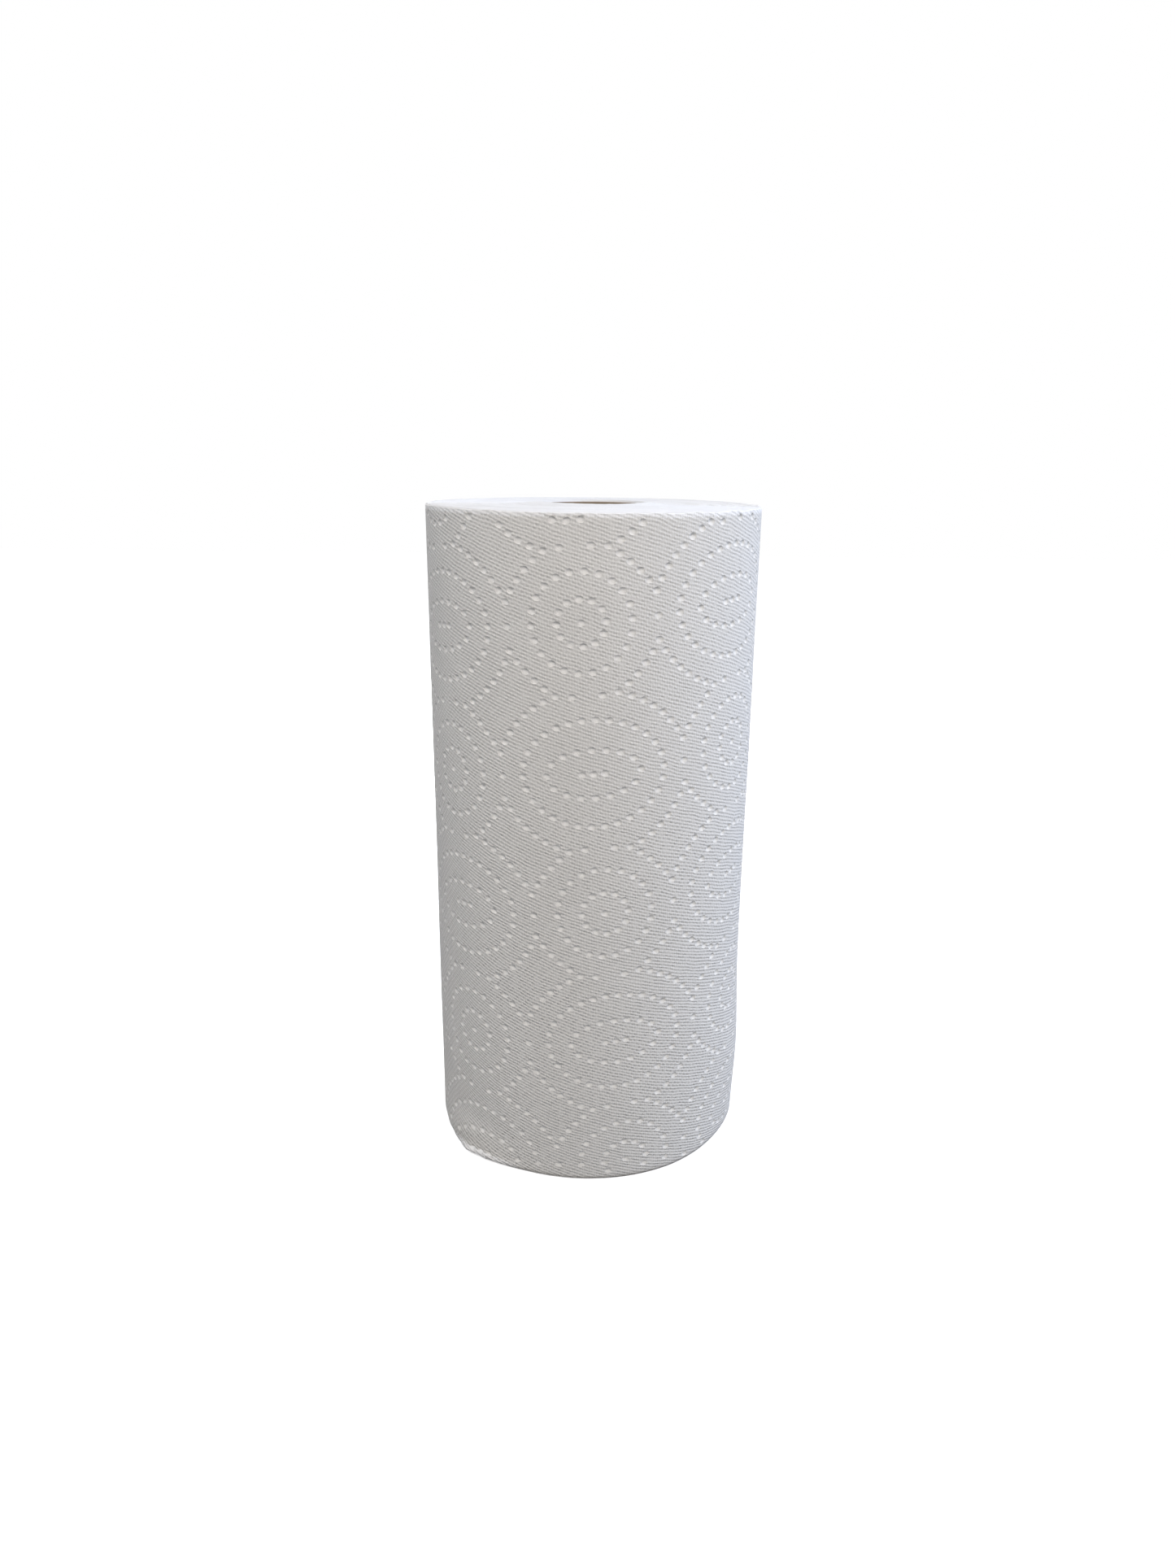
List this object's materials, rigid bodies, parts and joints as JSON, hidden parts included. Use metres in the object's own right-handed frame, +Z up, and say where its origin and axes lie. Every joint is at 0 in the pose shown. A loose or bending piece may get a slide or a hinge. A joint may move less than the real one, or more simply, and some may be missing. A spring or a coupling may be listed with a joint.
{
  "type": "paper towel roll",
  "caption": "Upright roll of embossed kitchen paper wound on an open cardboard tube, with dotted ring and diamond emboss and a loose sheet end.",
  "frame": {"origin": "on the axis of the core, in the plane that the roll stands on", "axes": "+Z up along the core's axis, -Y towards the front that the picture shows, +X to its right"},
  "size_m": [0.1385, 0.1381, 0.2794],
  "materials": {
    "paper": "soft matt white tissue, embossed",
    "cardboard": "matt grey-brown chipboard"
  },
  "bodies": {
    "root": {"towel_roll": "paper", "core_tube": "cardboard"}
  },
  "joints": []
}
